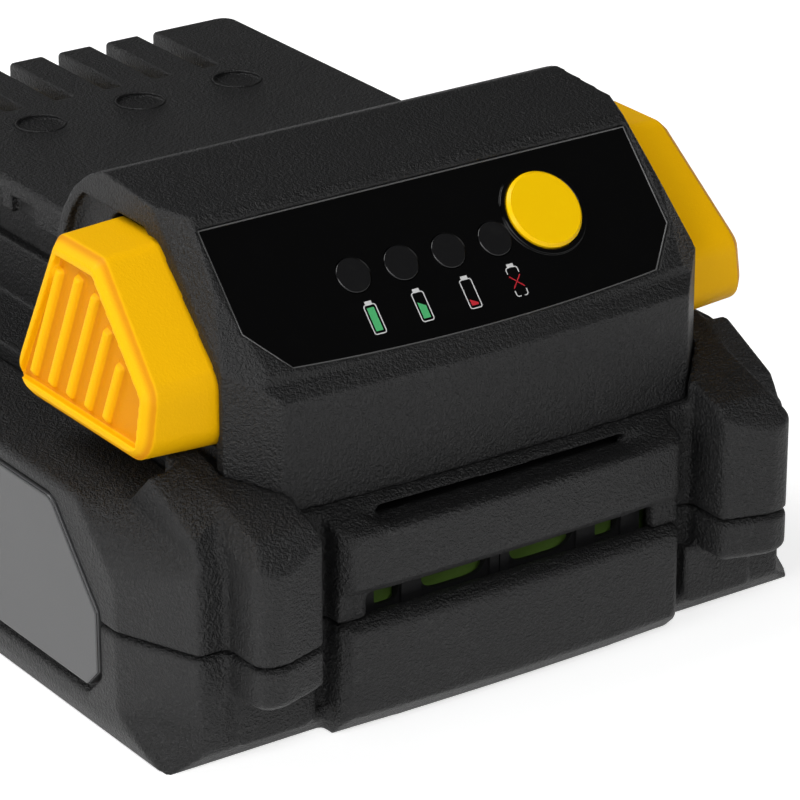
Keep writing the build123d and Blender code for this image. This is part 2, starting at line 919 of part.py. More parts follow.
def flange_plate():
    """Top plate of the rail, with rounded rear corners and a soft top edge."""
    start = front_y + hood_arch_foot - overrun
    plate = block((-flange_half, start, web_top), (flange_half, deck_rear, plate_height))
    rear = plate.edges().filter_by(Axis.Z).sort_by(Axis.Y)[-2:]
    plate = fillet(rear, plate_corner)
    top = plate.faces().sort_by(Axis.Z)[-1].edges().sort_by(Axis.Y)[1:]
    return chamfer(top, plate_edge)


def slot_places():
    """Places of the terminals across the rail."""
    first = -slot_pitch * (slot_count - 1) / 2
    return [first + n * slot_pitch for n in range(slot_count)]


def rail_cuts():
    """Terminal slots, round marks on the plate and the notches along its edge."""
    cuts = []
    for x in slot_places():
        cuts.append(block((x - slot_width / 2, slot_start, slot_floor),
                          (x + slot_width / 2, deck_rear + overrun, plate_height + overrun)))
    mark_y = slot_start - mark_gap
    for x in (-mark_pitch, 0, mark_pitch):
        cuts.append(drill(x, mark_y, mark_radius, plate_height - mark_depth, plate_height + overrun))
    for n in range(notch_count):
        y = notch_start + n * notch_pitch
        notch = block((flange_half - notch_depth, y, web_top),
                      (flange_half + overrun, y + notch_length, web_top + notch_height))
        cuts.append(both(notch))
    return cuts


def latch_window():
    """Openings in the web that the latch teeth pass through."""
    rear = front_y + latch_rear + tooth_gap
    z = stem_place[1]
    half = latch_height / 2 + tooth_gap
    return both(block((web_half / 2, rear - tooth_length - 2 * tooth_gap, z - half),
                      (flange_half, rear, z + half)))


def side_recess():
    """Shallow field in each flank of the hood, inside its rim."""
    start = front_y + hood_corner_y + side_recess_margin
    low = ledge_height + side_recess_margin
    limit = Polygon((start, low), (rear_y, low), (rear_y, pack_height), (start, pack_height), align=None)
    face = hood_outline(side_recess_margin, seat_height) & limit
    face &= Pos(side_recess_margin, -side_recess_margin * 2) * limit_under_bevel()
    return both(extrude(Plane.YZ.offset(hood_top_half - side_recess_depth) * face, half_width))


def limit_under_bevel():
    """What lies below the bevelled edge of the flank, in y and z."""
    top = (front_y + bevel_top_y, pack_height - bevel_top_drop)
    low = (front_y + hood_corner_y, hood_draft_height)
    return Polygon(top, low, (low[0], 0), (rear_y, 0), (rear_y, top[1]), align=None)


def display_openings():
    """Recess of the overlay, the holes of the lights and the gauge button, and the screw pilots."""
    recess = extrude(on_display(0, 0, overlay_thickness) * overlay_outline(overlay_clearance), overrun * 3)
    through = hood_wall * 2
    holes = [extrude(on_display(x, lens_along, through) * Circle(lens_radius + lens_clearance), through * 2)
             for x in lens_places()]
    holes.append(extrude(on_display(gauge_x, gauge_along, through) * Circle(gauge_radius + gauge_clearance),
                         through * 2))
    for x, along in boss_places():
        place = on_display(x, along, board_depth() + overrun)
        holes.append(extrude(place * RegularPolygon(small_screw_radius + screw_clearance, fastener_sides),
                             small_screw_length))
    return [recess, *holes]


def top_deck():
    """Rail and hood, one moulding: hollow hood, web, plate, ledge and button openings."""
    deck = hood_form()
    start = front_y + hood_arch_foot - overrun
    deck += block((-ledge_half, start, seat_height), (ledge_half, deck_rear, ledge_height))
    foot_half = web_half + web_step
    deck += block((-foot_half, start, ledge_height), (foot_half, deck_rear, web_step_height))
    deck += block((-web_half, start, web_step_height), (web_half, deck_rear, web_top))
    deck += flange_plate()
    deck -= hood_form(hood_wall, seat_height - hood_wall - overrun)
    deck -= block((-web_inner, stem_place[0], seat_height - overrun),
                  (web_inner, deck_rear - deck_wall, plate_height - plate_thickness))
    deck += deck_guides()
    deck += display_bosses()
    inside = Plane.YZ.offset(guide_face + guide_thickness + overrun)
    deck -= both(extrude(inside * button_outline(button_gap), half_width))
    deck -= side_recess()
    deck -= display_openings()
    deck -= rail_cuts()
    deck -= latch_window()
    return deck


def lens_places():
    """Places of the charge lights across the display."""
    return [lens_first + n * lens_pitch for n in range(lens_count)]


def display_overlay():
    """Thin glossy sheet over the display, with a raised collar round the button."""
    sheet = extrude(on_display(0, 0, overlay_thickness) * overlay_outline(), overlay_thickness)
    collar = Circle(gauge_radius + gauge_clearance + gauge_collar)
    sheet += extrude(on_display(gauge_x, gauge_along, overlay_thickness) * collar,
                     overlay_thickness + gauge_collar_rise)
    through = overlay_thickness * 2
    button_hole = Circle(gauge_radius + gauge_clearance)
    sheet -= extrude(on_display(gauge_x, gauge_along, through) * button_hole, through * 2)
    light_hole = Circle(lens_radius + lens_clearance)
    for x in lens_places():
        sheet -= extrude(on_display(x, lens_along, through) * light_hole, through * 2)
    return sheet


def led_lenses():
    """Smoked light pipes that carry each charge light to the face, standing just proud of it."""
    length = board_depth() - led_height - screw_clearance
    return [extrude(on_display(x, lens_along, length) * Circle(lens_radius), length + lens_proud)
            for x in lens_places()]


def gauge_button():
    """Round button that shows the charge: cap with a soft edge, retaining flange and stem."""
    under = hood_wall - frame_rise + gauge_gap
    flange_end = under + gauge_flange_thickness
    cap = extrude(on_display(gauge_x, gauge_along, under) * Circle(gauge_radius), under + gauge_rise)
    top = cap.faces().filter_by(GeomType.PLANE).sort_by(Axis.Z)[-1]
    cap = chamfer(top.edges(), gauge_edge)
    flange = extrude(on_display(gauge_x, gauge_along, flange_end) * Circle(gauge_radius + gauge_flange),
                     gauge_flange_thickness)
    stem_end = flange_end + switch_gap
    stem = extrude(on_display(gauge_x, gauge_along, stem_end)
                   * RegularPolygon(gauge_stem_radius, fastener_sides), stem_end)
    return cap + flange + stem


def gauge_switch():
    """Push switch under the button, on the display board."""
    place = on_display(gauge_x, gauge_along, board_depth())
    body = extrude(place * Rectangle(switch_size, switch_size), switch_height)
    plunger = extrude(place * RegularPolygon(plunger_radius, fastener_sides), switch_height + plunger_height)
    return body + plunger


def gauge_spring():
    """Return spring sleeve between the button's flange and the switch."""
    depth = board_depth() - switch_height
    flange_end = hood_wall - frame_rise + gauge_gap + gauge_flange_thickness
    return sleeve(on_display(gauge_x, gauge_along, depth), gauge_spring_radius, gauge_spring_wall,
                  depth - flange_end)


def display_board():
    """Small circuit board behind the display face."""
    plane = on_display(0, board_start + board_length / 2, board_depth() + board_thickness)
    board = extrude(plane * Rectangle(2 * board_half, board_length), board_thickness)
    for x, along in boss_places():
        place = on_display(x, along, board_depth() + 2 * board_thickness)
        hole = RegularPolygon(small_screw_radius + screw_clearance, fastener_sides)
        board -= extrude(place * hole, 3 * board_thickness)
    return board


def display_leds():
    """Charge lights on the display board."""
    depth = board_depth()
    return [extrude(on_display(x, lens_along, depth) * Rectangle(led_length, led_width), led_height)
            for x in lens_places()]


def display_screws():
    """Small screws that hold the display board to its bosses."""
    screws = []
    under = board_depth() + board_thickness
    for x, along in boss_places():
        head = extrude(on_display(x, along, under + small_head_height)
                       * RegularPolygon(small_head_radius, fastener_sides), small_head_height)
        shank = extrude(on_display(x, along, under) * RegularPolygon(small_screw_radius, fastener_sides),
                        small_screw_length)
        screws.append(head + shank)
    return screws


def display_ribbon():
    """Flat flexible lead from the display board down to the main board."""
    tilt = radians(display_angle)
    below = board_depth() + board_thickness + ribbon_thickness / 2
    start = on_display(0, board_start + board_length / 2, below)
    knee_y = start.origin.Y - ribbon_tail * cos(tilt)
    knee_z = start.origin.Z - ribbon_tail * sin(tilt)
    end_z = main_height + main_thickness + ribbon_thickness / 2
    end_y = standoff_rows()[0] - main_reach_front + 2 * ribbon_tail
    first = (start.origin.Y, start.origin.Z)
    path = FilletPolyline(first, (knee_y, knee_z), (knee_y, end_z), (end_y, end_z), radius=ribbon_bend)
    return extrude(Plane.YZ.offset(-ribbon_half) * trace(path, ribbon_thickness), 2 * ribbon_half)


def grip_plane(x):
    """Plane of the button's leaning outer face, or parallel to it further in."""
    middle_y = front_y + (button_nose_y + button_rear_low) / 2
    middle_z = (button_low + button_top) / 2
    face_x = button_reach - button_lean * (middle_z - button_low) - x
    return Plane(origin=(face_x, middle_y, middle_z), x_dir=(0, 1, 0), z_dir=(1, 0, button_lean))


def button_cap():
    """Right button's cap: drafted sides between rounded corners, and a leaning, bevelled face."""
    corners = button_corners()
    rows = [y for y, z in corners]
    cap = block((button_inner, min(rows), button_low), (button_reach + overrun, max(rows), button_top))
    lean = sin(radians(button_draft))
    for start, end in zip(corners, corners[1:] + corners[:1]):
        side = hypot(end[0] - start[0], end[1] - start[1])
        outward = (lean, (end[1] - start[1]) / side, (start[0] - end[0]) / side)
        cap = trim(cap, (button_inner, *start), outward)
    height = button_top - button_low
    for corner, share in zip(corners, button_radius_shares):
        along = [edge for edge in cap.edges() if edge.bounding_box().size.X > overrun]
        edge = ShapeList(along).sort_by_distance((button_inner, *corner))[0]
        cap = fillet(edge, share * height)
    outer = grip_plane(0)
    cap = trim(cap, outer.origin, outer.z_dir)
    edge = min(button_edge, button_edge_share * min(button_radius_shares) * height)
    return chamfer(cap.faces().sort_by(Axis.X)[-1].edges(), edge)


def release_button():
    """Right release button: drafted cap, ribbed grip, guided stem and latch tooth."""
    length = button_reach - button_inner
    cap = button_cap() - grip_field()
    cap += grip_ribs()
    hollow = extrude(Plane.YZ.offset(button_inner - overrun) * offset(button_outline(), -button_wall),
                     length - button_wall * 2 - grip_depth - length * button_lean + overrun)
    cap -= hollow
    y, z = stem_place
    stem_end = latch_face - latch_thickness
    root = button_reach - button_wall - length * button_lean
    stem = rod(y, z, stem_radius, stem_end, root)
    end = Plane(origin=(stem_end - spring_pin_length, y, z), x_dir=(0, 1, 0), z_dir=(1, 0, 0))
    guide = extrude(end * RegularPolygon(spring_pin_radius, fastener_sides), spring_pin_length)
    half = latch_height / 2
    rear = front_y + latch_rear
    arm = block((stem_end, y - stem_radius, z - half), (latch_face, rear, z + half))
    tooth = block((stem_end, rear - tooth_length, z - half), (web_half + tooth_reach, rear, z + half))
    tooth -= tooth_ramp()
    return cap + stem + guide + arm + tooth


def grip_field():
    """Recessed field of the grip on the leaning outer face."""
    plane = grip_plane(0)
    points = []
    for y, z in button_corners():
        local = plane.to_local_coords(Vector(plane.origin.X, y, z))
        points.append((local.X, local.Y))
    face = offset(Polygon(*points, align=None), -grip_margin, kind=Kind.INTERSECTION)
    return extrude(plane * Pos(0, 0, overrun) * face, -grip_depth - overrun)


def grip_ribs():
    """Bevelled ribs across the grip, leaning like the button's rear edge."""
    plane = grip_plane(grip_depth)
    height = button_top - button_low - 2 * grip_margin
    span = (grip_count - 1) * grip_pitch
    ribs = []
    for n, share in enumerate(grip_length_shares):
        length = height * share
        foot = span / 2 - n * grip_pitch
        middle = -height / 2 + grip_inset + length / 2
        slide = middle * sin(radians(grip_lean)) / cos(radians(grip_lean))
        place = plane * Pos(foot - slide, middle) * Rot(0, 0, grip_lean)
        ribs.append(grip_rib(place, length))
    return ribs


def grip_rib(place, length):
    """One rib: a bar sunk to its middle, its flanks and ends bevelled in two steps."""
    step = grip_radius * sin(radians(45))
    sides = ((-grip_radius, grip_radius), (0, grip_radius), (step, step), (grip_radius, grip_radius - step))
    sections = [Pos(0, 0, rise) * Rectangle(2 * half, length + 2 * half) for rise, half in sides]
    return place * loft(sections, ruled=True)


def tooth_ramp():
    """Slope on the rear of the latch tooth that lets it ride over its catch."""
    z = stem_place[1]
    rear = front_y + latch_rear
    tip = web_half + tooth_reach
    points = [
        (tip + overrun, rear - tooth_length / 2),
        (tip + overrun, rear + overrun),
        (web_half, rear + overrun),
        (web_half, rear),
    ]
    return plan(points, z - latch_height, z + latch_height)


def release_spring():
    """Return spring of the right button, round its pin and against the middle rib."""
    y, z = stem_place
    end = latch_face - latch_thickness
    place = Plane(origin=(anchor_half, y, z), x_dir=(0, 1, 0), z_dir=(1, 0, 0))
    return sleeve(place, spring_radius, spring_wall, end - anchor_half)


def cell(n):
    """One round cell lying across the pack; every second one is turned end for end."""
    hand = 1 if n % 2 else -1
    y = cell_places[n]
    half = cell_length / 2
    body = rod(y, cell_rest, cell_radius, *sorted((-hand * half, hand * (half - cell_button_height))))
    return body + rod(y, cell_rest, cell_button_radius, *sorted((0, hand * half)))


def cell_holder():
    """Right half of the moulded cell carrier: bores, cooling windows, ribs and standoffs."""
    first = cell_places[0]
    last = cell_places[-1]
    front = first - cell_radius + holder_cover
    rear = last + cell_radius - holder_cover
    low = floor_thickness + holder_gap / 2
    half = cell_length / 2
    holder = block((seam / 2, front, low), (holder_half, rear, holder_top))
    stop = half - holder_end
    for y in cell_places:
        near = max(y - holder_window / 2, front + holder_bar)
        far = min(y + holder_window / 2, rear - holder_bar)
        holder -= block((-overrun, near, -overrun), (stop, far, pack_height))
    holder += holder_ribs(front, low)
    for y in standoff_rows():
        holder += pin(standoff_x, y, standoff_radius, cell_rest + cell_radius, main_height)
        holder -= pin(standoff_x, y, small_screw_radius + screw_clearance, main_height - small_screw_length,
                      main_height + overrun)
    for y in cell_places:
        holder -= rod(y, cell_rest, cell_radius + holder_bore_gap, -overrun, half)
    reach = strap_width / 2
    holder -= block((half - overrun, first - reach, cell_rest - reach),
                    (holder_half + overrun, last + reach, cell_rest + reach))
    slot = tab_width / 2 + tab_slot_gap
    for y in (first, last):
        holder -= block((half, y - slot, cell_rest), (holder_half + overrun, y + slot, holder_top + overrun))
    return holder


def holder_ribs(front, low):
    """Upright ribs across the front of the carrier, seen through the vent."""
    face = front - rib_reach
    deep = front + cell_radius / 2
    half = rib_width / 2
    middle = block((seam / 2, face, low), (half, deep, holder_top))
    outer = block((rib_pitch - half, face, low), (rib_pitch + half, deep, holder_top))
    foot = block((seam / 2, face, low), (vent_half - half, front + cell_radius / 3, low + rib_width))
    end = block((vent_half - rib_width, face, low), (vent_half, deep, holder_top))
    return middle + outer + foot + end


def straps(hand):
    """Nickel strips that join the cell ends on one side in pairs, each a separate piece."""
    inner = cell_length / 2
    low, high = sorted((hand * inner, hand * (inner + strap_thickness)))
    strips = []
    for a in range(-1 if hand > 0 else 0, cell_count, 2):
        reach = strap_width / 2
        near = cell_places[max(a, 0)]
        far = cell_places[min(a + 1, cell_count - 1)]
        strips.append(block((low, near - reach, cell_rest - reach), (high, far + reach, cell_rest + reach)))
    return strips


def power_tab(hand):
    """Bent strip from the end strap of one side, over the carrier, up to the main board."""
    half = tab_width / 2
    cell_y = cell_places[0] if hand > 0 else cell_places[-1]
    board_front, board_rear = board_ends()
    board_y = min(max(cell_y, board_front + half), board_rear - half)
    outer = cell_length / 2 + strap_thickness + tab_thickness
    top = holder_top + tab_thickness
    strip = block((outer - tab_thickness, cell_y - half, cell_rest), (outer, cell_y + half, top))
    strip += plan([(outer, cell_y - half), (outer, cell_y + half), (tab_in, board_y + half),
                   (tab_in, board_y - half)], holder_top, top)
    end = tab_in + tab_thickness
    strip += block((tab_in, board_y - half, holder_top), (end, board_y + half, main_height))
    return strip if hand > 0 else mirrored(strip)


def board_ends():
    """Front and rear edges of the main board."""
    rows = standoff_rows()
    return rows[0] - main_reach_front, rows[1] + main_reach_rear


def main_board():
    """Circuit board over the cells, screwed to the carrier's standoffs."""
    front, rear = board_ends()
    board = block((-main_half, front, main_height), (main_half, rear, main_height + main_thickness))
    for x, y in board_screw_places():
        board -= pin(x, y, small_screw_radius + screw_clearance, main_height - overrun, pack_height)
    return board


def board_screw_places():
    """Screw places of the main board."""
    return [(x, y) for x in (-standoff_x, standoff_x) for y in standoff_rows()]


def standoff_rows():
    """Rows of standoffs, over the bars between the end cells and their neighbours."""
    return [(cell_places[0] + cell_places[1]) / 2, (cell_places[-2] + cell_places[-1]) / 2]


def board_screws():
    """Small screws that hold the main board."""
    screws = []
    top = main_height + main_thickness
    for x, y in board_screw_places():
        head = pin(x, y, small_head_radius, top, top + small_head_height)
        screws.append(head + pin(x, y, small_screw_radius, top - small_screw_length, top))
    return screws


def board_parts():
    """Power transistors, a coil and a connector on the main board."""
    front, rear = board_ends()
    top = main_height + main_thickness
    parts = []
    for (length, width, height), (across, along) in zip(part_sizes, part_place_shares):
        x = across * main_half
        y = front + along * (rear - front)
        reach = length / 2
        parts.append(block((x - reach, y - width / 2, top), (x + reach, y + width / 2, top + height)))
    return parts


def terminal_block():
    """Insulating block under the slots, with a pocket for each contact."""
    rear = deck_rear - deck_wall - block_gap
    front = rear - block_length
    side = web_inner - block_gap
    low = main_height + main_thickness
    top = plate_height - plate_thickness - block_top_gap
    body = block((-side, front, low), (side, rear, top))
    start = slot_start + contact_start
    tail = start + tail_start
    for x in slot_places():
        half = slot_width / 2
        body -= block((x - half, slot_start, slot_floor), (x + half, deck_rear, plate_height))
        body -= block((x - contact_pocket / 2, start - contact_room, slot_floor),
                      (x + contact_pocket / 2, start + contact_length + contact_room, plate_height))
        body -= block((x - contact_gap / 2, tail - seam / 2, low - overrun),
                      (x + contact_gap / 2, tail + tail_length + seam / 2, slot_floor + overrun))
    room = small_head_radius + seam
    for x, y in board_screw_places():
        high = low + small_head_height + seam
        body -= block((x - room, y - room, low - overrun), (x + room, y + room, high))
    return body


def terminal_contacts():
    """Forked contacts: two spring leaves on a base, with a tail to the board."""
    contacts = []
    start = slot_start + contact_start
    end = start + contact_length
    low = main_height + main_thickness
    top = plate_height - plate_thickness - contact_top_gap
    inner = contact_gap / 2
    outer = inner + contact_leaf
    for x in slot_places():
        base = block((x - outer, start, slot_floor), (x + outer, end, slot_floor + contact_base))
        leaves = [block((x - outer, start, slot_floor), (x - inner, end, top)),
                  block((x + inner, start, slot_floor), (x + outer, end, top))]
        tail = block((x - contact_leaf, start + tail_start, low),
                     (x + contact_leaf, start + tail_start + tail_length, slot_floor + contact_base))
        contacts.append(base + leaves + tail)
    return contacts


def foam_pad():
    """Foam strip that fills the room between the carrier and the rear wall."""
    front = cell_places[-1] + cell_radius
    rear = rear_y - shell_wall - pad_gap
    half = half_width - rear_corner - shell_wall
    return block((-half, front, floor_thickness + pad_gap), (half, rear, holder_top - pad_gap))


def case_screws():
    """Four screws that hold the two shells together."""
    screws = []
    for x, y in case_screw_places():
        head = pin(x, y, screw_head_radius, screw_seat - screw_head_height, screw_seat)
        screws.append(head + pin(x, y, screw_radius, screw_seat, screw_seat + screw_length))
    return screws


def group(solids):
    """Separate solids of one node."""
    return Compound(children=list(solids))


def nodes():
    """Every piece of the pack under its node name."""
    panel = side_panel()
    button = release_button()
    spring = release_spring()
    holder = cell_holder()
    pieces = {
        "lower_shell": lower_shell(),
        "upper_shell": upper_shell(),
        "top_deck": top_deck(),
        "side_panel_right": panel,
        "side_panel_left": mirrored(panel),
        "release_button_right": button,
        "release_button_left": mirrored(button),
        "release_spring_right": spring,
        "release_spring_left": mirrored(spring),
        "display_overlay": display_overlay(),
        "led_lenses": group(led_lenses()),
        "gauge_button": gauge_button(),
        "gauge_spring": gauge_spring(),
        "gauge_switch": gauge_switch(),
        "display_board": display_board(),
        "display_leds": group(display_leds()),
        "display_screws": group(display_screws()),
        "display_ribbon": display_ribbon(),
        "main_board": main_board(),
        "board_parts": group(board_parts()),
        "board_screws": group(board_screws()),
        "terminal_block": terminal_block(),
        "terminal_contacts": group(terminal_contacts()),
        "cell_holder_right": holder,
        "cell_holder_left": mirrored(holder),
        "cell_straps_right": group(straps(1)),
        "cell_straps_left": group(straps(-1)),
        "power_tab_right": power_tab(1),
        "power_tab_left": power_tab(-1),
        "foam_pad": foam_pad(),
        "case_screws": group(case_screws()),
    }
    for n in range(cell_count):
        pieces[f"cell_{n + 1}"] = cell(n)
    return pieces


os.makedirs("parts", exist_ok=True)
for name, piece in nodes().items():
    export_step(piece, f"parts/{name}.step")
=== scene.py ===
from math import cos, radians, sin

import bpy
import numpy as np
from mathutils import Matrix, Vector


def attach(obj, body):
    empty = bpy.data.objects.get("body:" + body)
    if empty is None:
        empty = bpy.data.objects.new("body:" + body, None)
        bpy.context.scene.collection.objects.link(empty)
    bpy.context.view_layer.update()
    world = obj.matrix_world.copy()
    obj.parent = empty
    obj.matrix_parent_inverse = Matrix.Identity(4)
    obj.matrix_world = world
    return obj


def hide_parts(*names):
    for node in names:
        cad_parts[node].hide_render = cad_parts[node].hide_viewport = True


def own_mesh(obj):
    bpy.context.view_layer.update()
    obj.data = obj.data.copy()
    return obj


# Power tool battery pack: moulded case halves, slide rail and display hood, yellow release
# buttons, printed charge icons and coil springs. Sizes are in metres, in the frame of the model.
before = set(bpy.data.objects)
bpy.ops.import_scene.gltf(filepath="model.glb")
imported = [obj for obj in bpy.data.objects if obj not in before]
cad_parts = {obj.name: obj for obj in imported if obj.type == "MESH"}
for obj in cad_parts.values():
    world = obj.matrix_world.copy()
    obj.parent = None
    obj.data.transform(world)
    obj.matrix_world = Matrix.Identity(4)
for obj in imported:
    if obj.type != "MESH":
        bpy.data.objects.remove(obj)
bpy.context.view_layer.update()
mm = 0.001

# Display face: the middle of the overlay's top edge, and its slope
display_y = -32.4 * mm
display_z = 50.4 * mm
display_angle = radians(46.78)

# Charge icons: their places on the display, the battery's outline and cap, and the print
icon_places = np.array([-11.46, -5.68, 0.23, 5.99]) * mm
icon_along = 13.32 * mm
icon_half_width = 0.7 * mm
icon_half_height = 1.6 * mm
icon_corner = 0.26 * mm
icon_cap_half = 0.4 * mm
icon_cap_height = 0.4 * mm
icon_line = 0.11 * mm
corner_steps = 6
print_lift = 0.02 * mm
print_thickness = 0.02 * mm

# Fill of the first three icons: its ink, and how high its right and left corners stand.
# It keeps clear of the outline by some widths of the line, at the sides and at the ends.
icon_levels = (("icon_green", 1.0, 1.0), ("icon_green", 0.02, 0.42), ("icon_red", -0.82, -0.45))
fill_side_lines = 2.6
fill_end_lines = 3.0

# Last icon: how far the runs of its corners reach along the sides and the ends, and its cross
corner_side_share = 0.42
corner_end_share = 0.7
cross_share = 0.95

# Overlay: half widths at its sides and foot, lengths down the display, and the bead along its edge
overlay_half = 26.3 * mm
overlay_foot = 22.5 * mm
overlay_side = 11.4 * mm
overlay_length = 16.0 * mm
overlay_bulge = 0.95 * mm
overlay_foot_points = 25
bead_radius = 0.09 * mm

# Round marks on the rail's plate
mark_places = np.array([(-12.8, 21.1), (0, 21.1), (12.8, 21.1)]) * mm
mark_height = 42.93 * mm
mark_radius = 2.72 * mm
mark_wire = 0.14 * mm
mark_points = 48

# Release buttons: where the leaning outer face cuts the widest line, its lean, the depths between
# which the painted shade of the grip's grooves deepens, and how squarely a face has to look sideways
grip_line = 42.04 * mm
grip_lean = 0.135
grip_shallow = 0.3 * mm
grip_deep = 0.9 * mm
grip_facing = (0.3, 0.75)
# Colour of the painted shade on the floor of the grip's grooves
grip_shade_colour = (0.66, 0.25, 0.0004)

# Sill behind the vent, between the ribs of the cell holder
sill_front = -46.75 * mm
sill_thickness = 0.6 * mm
sill_foot = 4.75 * mm
sill_height = 12.15 * mm
sill_rise = 1.9 * mm
sill_power = 6
sill_spans = np.array([[1.2, 9.8], [12.2, 15.6]]) * mm
sill_points = 33

# Release springs: the line that they lie on, in y and z, their two ends and their wire
spring_line = (-26.6 * mm, 37.6 * mm)
spring_start = 1.5 * mm
spring_end = 15.0 * mm
spring_coil = 2.55 * mm
spring_wire = 0.34 * mm
spring_turns = 7.0

# Gauge button's spring: its place on the display face, and how deep it starts
gauge_x = 12.5 * mm
gauge_along = 6.75 * mm
gauge_spring_depth = 4.55 * mm
gauge_spring_length = 2.1 * mm
gauge_coil = 2.8 * mm
gauge_wire = 0.24 * mm
gauge_turns = 3.0

# Points on one turn of a spring, and sides of every tube
turn_points = 24
tube_sides = 8

# Rolled edges of the plain pieces: their widths, the least turn of an edge that is rolled, its
# facets, and how near points and how level faces have to be to be joined first
edge_widths = {"side_panel_left": 0.15 * mm, "side_panel_right": 0.15 * mm,
               "display_overlay": 0.12 * mm, "led_lenses": 0.1 * mm}
edge_angle = radians(22)
edge_facets = 3
weld_distance = 0.001 * mm
flat_angle = radians(0.5)

# New skins of the moulded pieces: the grid, the passes that even it out, and the share of faces kept
skins = {"upper_shell": (0.36 * mm, 4, 0.3), "lower_shell": (0.36 * mm, 4, 0.3),
         "top_deck": (0.2 * mm, 5, 0.155),
         "release_button_left": (0.16 * mm, 3, 0.55), "release_button_right": (0.16 * mm, 3, 0.55)}
skin_evening = 0.5

# Mould grain: detail and roughness of its three noises, the share of the fine one in the height,
# where speckles start and are full, how much finer the fine noise is, and the mottle's scale
grain_noises = {"Grain Size": (2.0, 0.55), "Fine Size": (1.0, 0.5), "Mottle Size": (3.0, 0.5)}
fine_share = 0.45
speckle_start = 0.56
speckle_full = 0.72
fine_ratio = 2.3
mottle_size = 45.0

# Studio: lamps with their places and powers in watts, levels of the world, and the floor
lamps = {"key_lamp": ((-0.72, -0.26, 0.28), 3.1), "overhead_lamp": ((-0.35, 0.35, 0.66), 4.0),
         "front_lamp": ((-0.17, -0.66, 0.56), 3.2)}
lamp_target = (0, 0, 0.03)
lamp_size = 0.45
horizon_level = 1.0
dome_level = 0.08
dome_start = 0.09
floor_half = 6.0
floor_white = 0.8
floor_glow = 0.6

# Camera: where the photograph was taken from
camera_place = (-0.23738, -0.36995, 0.20603)
camera_turn = (radians(66.407), 0, radians(-34.879))
camera_lens = 195.67
film_width = 36


def add(tree, kind, **settings):
    """Shader node with its settings."""
    made = tree.nodes.new(kind)
    for name, value in settings.items():
        setattr(made, name, value)
    return made


def calculate(tree, operation, *sources):
    """Output of a Math node, whose sources are numbers or the outputs of other nodes."""
    made = add(tree, "ShaderNodeMath", operation=operation)
    for entry, source in zip(made.inputs, sources):
        if isinstance(source, float):
            entry.default_value = source
        else:
            tree.links.new(source, entry)
    return made.outputs[0]


def fade(tree, source, start, end, first=0.0, last=1.0):
    """Smooth step of a value, from the first level at the start to the last one at the end."""
    made = add(tree, "ShaderNodeMapRange", interpolation_type="SMOOTHSTEP")
    made.inputs["From Min"].default_value = start
    made.inputs["From Max"].default_value = end
    made.inputs["To Min"].default_value = first
    made.inputs["To Max"].default_value = last
    tree.links.new(source, made.inputs["Value"])
    return made.outputs["Result"]


def spark_grain_group():
    """Pitted grain of a spark-eroded mould: a height, a mask of speckles and a slow mottle mask.

    The height is the coarse noise plus a share of the fine one, and speckles are the coarse peaks.
    """
    group = bpy.data.node_groups.new("spark_grain", "ShaderNodeTree")
    for name in grain_noises:
        group.interface.new_socket(name=name, in_out="INPUT", socket_type="NodeSocketFloat")
    for name in ("Height", "Speckle", "Mottle"):
        group.interface.new_socket(name=name, in_out="OUTPUT", socket_type="NodeSocketFloat")
    entry = add(group, "NodeGroupInput")
    leave = add(group, "NodeGroupOutput")
    place = add(group, "ShaderNodeTexCoord")
    noises = []
    for name, (detail, roughness) in grain_noises.items():
        noise = add(group, "ShaderNodeTexNoise")
        noise.inputs["Detail"].default_value = detail
        noise.inputs["Roughness"].default_value = roughness
        group.links.new(place.outputs["Object"], noise.inputs["Vector"])
        group.links.new(entry.outputs[name], noise.inputs["Scale"])
        noises.append(noise.outputs["Fac"])
    coarse, fine, mottle = noises
    height = calculate(group, "MULTIPLY_ADD", fine, fine_share, coarse)
    group.links.new(height, leave.inputs["Height"])
    group.links.new(fade(group, coarse, speckle_start, speckle_full), leave.inputs["Speckle"])
    group.links.new(mottle, leave.inputs["Mottle"])
    return group


grain = spark_grain_group()


def moulded(name, colour, light, roughness, depth, size, speckle=0.5, specular=0.5, metallic=0.0,
            spread=0.06):
    """Moulded finish: grain gives the bump, speckles lighten the colour, a mottle shifts the gloss.

    Depth is the height of the bump in metres, size is the scale of the grain.
    """
    material = bpy.data.materials.new(name)
    material.use_nodes = True
    tree = material.node_tree
    shader = tree.nodes["Principled BSDF"]
    shader.inputs["Metallic"].default_value = metallic
    shader.inputs["Specular IOR Level"].default_value = specular
    texture = add(tree, "ShaderNodeGroup", node_tree=grain)
    texture.inputs["Grain Size"].default_value = size
    texture.inputs["Fine Size"].default_value = size * fine_ratio
    texture.inputs["Mottle Size"].default_value = mottle_size
    tint = add(tree, "ShaderNodeMix", data_type="RGBA")
    tint.inputs["A"].default_value = (*colour, 1)
    tint.inputs["B"].default_value = (*light, 1)
    share = calculate(tree, "MULTIPLY", texture.outputs["Speckle"], speckle)
    tree.links.new(share, tint.inputs["Factor"])
    tree.links.new(tint.outputs["Result"], shader.inputs["Base Color"])
    gloss = add(tree, "ShaderNodeMapRange")
    gloss.inputs["To Min"].default_value = roughness - spread
    gloss.inputs["To Max"].default_value = roughness + spread
    tree.links.new(texture.outputs["Mottle"], gloss.inputs["Value"])
    tree.links.new(gloss.outputs["Result"], shader.inputs["Roughness"])
    bump = add(tree, "ShaderNodeBump")
    bump.inputs["Strength"].default_value = 1.0
    bump.inputs["Distance"].default_value = depth
    tree.links.new(texture.outputs["Height"], bump.inputs["Height"])
    tree.links.new(bump.outputs["Normal"], shader.inputs["Normal"])
    return material


